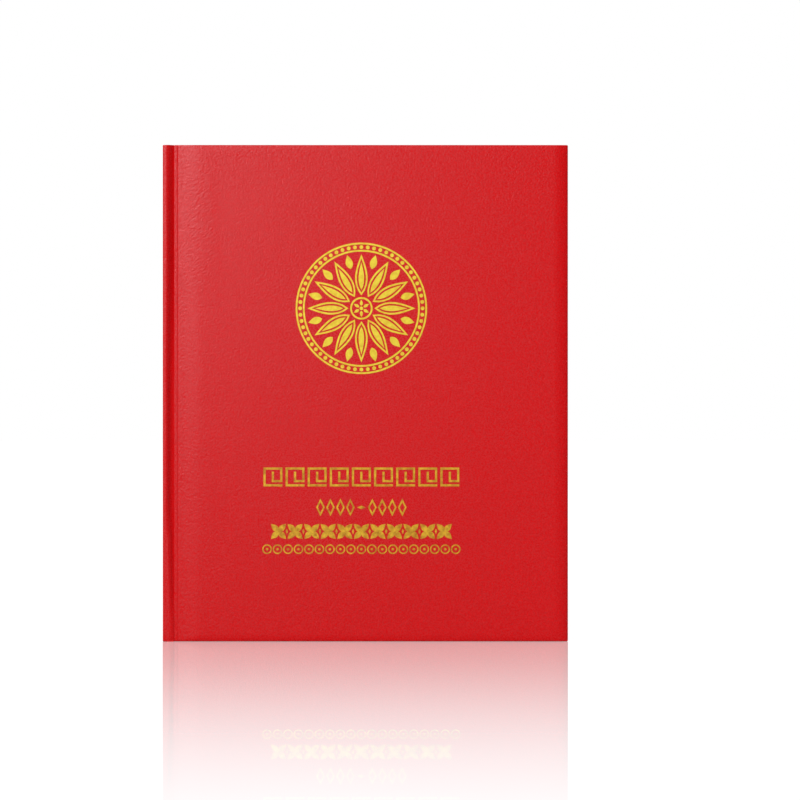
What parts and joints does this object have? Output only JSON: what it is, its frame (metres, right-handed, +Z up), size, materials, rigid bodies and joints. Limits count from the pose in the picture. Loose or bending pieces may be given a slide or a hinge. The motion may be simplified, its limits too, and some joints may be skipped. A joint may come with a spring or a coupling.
{
  "type": "stamp album",
  "caption": "Padded hardcover stamp album with a French-groove case, post-bound stiff leaves with film stamp pockets, interleaves and gilt ornament on the front.",
  "frame": {"origin": "centre of the lower edge of the closed album's outline box, on the surface it stands on", "axes": "+Z up along the spine, +X from the spine to the fore edge, -Y out of the front cover"},
  "size_m": [0.253, 0.0405, 0.31],
  "materials": {
    "red_leatherette": "satin",
    "greyboard": "matte",
    "foam": "matte",
    "lining_paper": "matte",
    "backing_cloth": "matte",
    "binding_strip": "satin",
    "leaf_card": "matte",
    "hinge_linen": "matte",
    "pocket_film": "gloss",
    "glassine": "satin",
    "post_brass": "satin",
    "gold_foil": "gloss"
  },
  "bodies": {
    "binding": {"spine_board": "greyboard", "spine_leatherette": "red_leatherette", "spine_lining": "backing_cloth", "front_joint_leatherette": "red_leatherette", "back_joint_leatherette": "red_leatherette", "block_spine_cloth": "backing_cloth", "front_hinge_cloth": "backing_cloth", "back_hinge_cloth": "backing_cloth", "front_binding_strip": "binding_strip", "back_binding_strip": "binding_strip", "leaf_stubs": "leaf_card", "filler_strips": "leaf_card", "leaf_hinge_linens": "hinge_linen", "post_barrels": "post_brass", "post_screws": "post_brass"},
    "front_cover": {"front_board": "greyboard", "front_foam_pad": "foam", "front_leatherette": "red_leatherette", "front_infill_card": "greyboard", "front_lining_paper": "lining_paper", "medallion_foil": "gold_foil", "title_band_foil": "gold_foil"},
    "back_cover": {"back_board": "greyboard", "back_foam_pad": "foam", "back_leatherette": "red_leatherette", "back_infill_card": "greyboard", "back_lining_paper": "lining_paper"},
    "leaf_01": {"leaf_01_card": "leaf_card", "leaf_01_pockets": "pocket_film", "leaf_01_interleaf": "glassine"},
    "leaf_02": {"leaf_02_card": "leaf_card", "leaf_02_pockets": "pocket_film", "leaf_02_interleaf": "glassine"},
    "leaf_03": {"leaf_03_card": "leaf_card", "leaf_03_pockets": "pocket_film", "leaf_03_interleaf": "glassine"},
    "leaf_04": {"leaf_04_card": "leaf_card", "leaf_04_pockets": "pocket_film", "leaf_04_interleaf": "glassine"},
    "leaf_05": {"leaf_05_card": "leaf_card", "leaf_05_pockets": "pocket_film", "leaf_05_interleaf": "glassine"},
    "leaf_06": {"leaf_06_card": "leaf_card", "leaf_06_pockets": "pocket_film", "leaf_06_interleaf": "glassine"},
    "leaf_07": {"leaf_07_card": "leaf_card", "leaf_07_pockets": "pocket_film", "leaf_07_interleaf": "glassine"},
    "leaf_08": {"leaf_08_card": "leaf_card", "leaf_08_pockets": "pocket_film", "leaf_08_interleaf": "glassine"},
    "leaf_09": {"leaf_09_card": "leaf_card", "leaf_09_pockets": "pocket_film", "leaf_09_interleaf": "glassine"},
    "leaf_10": {"leaf_10_card": "leaf_card", "leaf_10_pockets": "pocket_film", "leaf_10_interleaf": "glassine"}
  },
  "joints": [
    {"name": "front_cover_hinge", "type": "hinge", "parent": "binding", "child": "front_cover", "pos_m": [-0.12175, -0.02045, 0.155], "axis": [0, 0, -1], "range_deg": [0, 178], "deforming": ["front_joint_leatherette", "front_hinge_cloth"]},
    {"name": "back_cover_hinge", "type": "hinge", "parent": "binding", "child": "back_cover", "pos_m": [-0.12175, 0.02045, 0.155], "axis": [0, 0, 1], "range_deg": [0, 178], "deforming": ["back_joint_leatherette", "back_hinge_cloth"]},
    {"name": "leaf_01_turn", "type": "hinge", "parent": "binding", "child": "leaf_01", "pos_m": [-0.09805, -0.01085, 0.155], "axis": [0, 0, -1], "range_deg": [0, 92.56], "deforming": ["leaf_hinge_linens"]},
    {"name": "leaf_02_turn", "type": "hinge", "parent": "binding", "child": "leaf_02", "pos_m": [-0.09805, -0.00843, 0.155], "axis": [0, 0, -1], "range_deg": [0, 73.87], "deforming": ["leaf_hinge_linens"]},
    {"name": "leaf_03_turn", "type": "hinge", "parent": "binding", "child": "leaf_03", "pos_m": [-0.09805, -0.00602, 0.155], "axis": [0, 0, -1], "range_deg": [0, 55.18], "deforming": ["leaf_hinge_linens"]},
    {"name": "leaf_04_turn", "type": "hinge", "parent": "binding", "child": "leaf_04", "pos_m": [-0.09805, -0.00362, 0.155], "axis": [0, 0, -1], "range_deg": [0, 36.49], "deforming": ["leaf_hinge_linens"]},
    {"name": "leaf_05_turn", "type": "hinge", "parent": "binding", "child": "leaf_05", "pos_m": [-0.09805, -0.0012, 0.155], "axis": [0, 0, -1], "range_deg": [0, 17.8], "deforming": ["leaf_hinge_linens"]},
    {"name": "leaf_06_turn", "type": "hinge", "parent": "binding", "child": "leaf_06", "pos_m": [-0.09805, 0.0012, 0.155], "axis": [0, 0, 1], "range_deg": [0, 17.8], "deforming": ["leaf_hinge_linens"]},
    {"name": "leaf_07_turn", "type": "hinge", "parent": "binding", "child": "leaf_07", "pos_m": [-0.09805, 0.00362, 0.155], "axis": [0, 0, 1], "range_deg": [0, 36.49], "deforming": ["leaf_hinge_linens"]},
    {"name": "leaf_08_turn", "type": "hinge", "parent": "binding", "child": "leaf_08", "pos_m": [-0.09805, 0.00602, 0.155], "axis": [0, 0, 1], "range_deg": [0, 55.18], "deforming": ["leaf_hinge_linens"]},
    {"name": "leaf_09_turn", "type": "hinge", "parent": "binding", "child": "leaf_09", "pos_m": [-0.09805, 0.00843, 0.155], "axis": [0, 0, 1], "range_deg": [0, 73.87], "deforming": ["leaf_hinge_linens"]},
    {"name": "leaf_10_turn", "type": "hinge", "parent": "binding", "child": "leaf_10", "pos_m": [-0.09805, 0.01085, 0.155], "axis": [0, 0, 1], "range_deg": [0, 92.56], "deforming": ["leaf_hinge_linens"]}
  ],
  "couplings": [
    {"joint": "leaf_01_turn", "follows": "front_cover_hinge", "ratio": 0.52},
    {"joint": "leaf_02_turn", "follows": "front_cover_hinge", "ratio": 0.415},
    {"joint": "leaf_03_turn", "follows": "front_cover_hinge", "ratio": 0.31},
    {"joint": "leaf_04_turn", "follows": "front_cover_hinge", "ratio": 0.205},
    {"joint": "leaf_05_turn", "follows": "front_cover_hinge", "ratio": 0.1},
    {"joint": "leaf_06_turn", "follows": "back_cover_hinge", "ratio": 0.1},
    {"joint": "leaf_07_turn", "follows": "back_cover_hinge", "ratio": 0.205},
    {"joint": "leaf_08_turn", "follows": "back_cover_hinge", "ratio": 0.31},
    {"joint": "leaf_09_turn", "follows": "back_cover_hinge", "ratio": 0.415},
    {"joint": "leaf_10_turn", "follows": "back_cover_hinge", "ratio": 0.52}
  ]
}
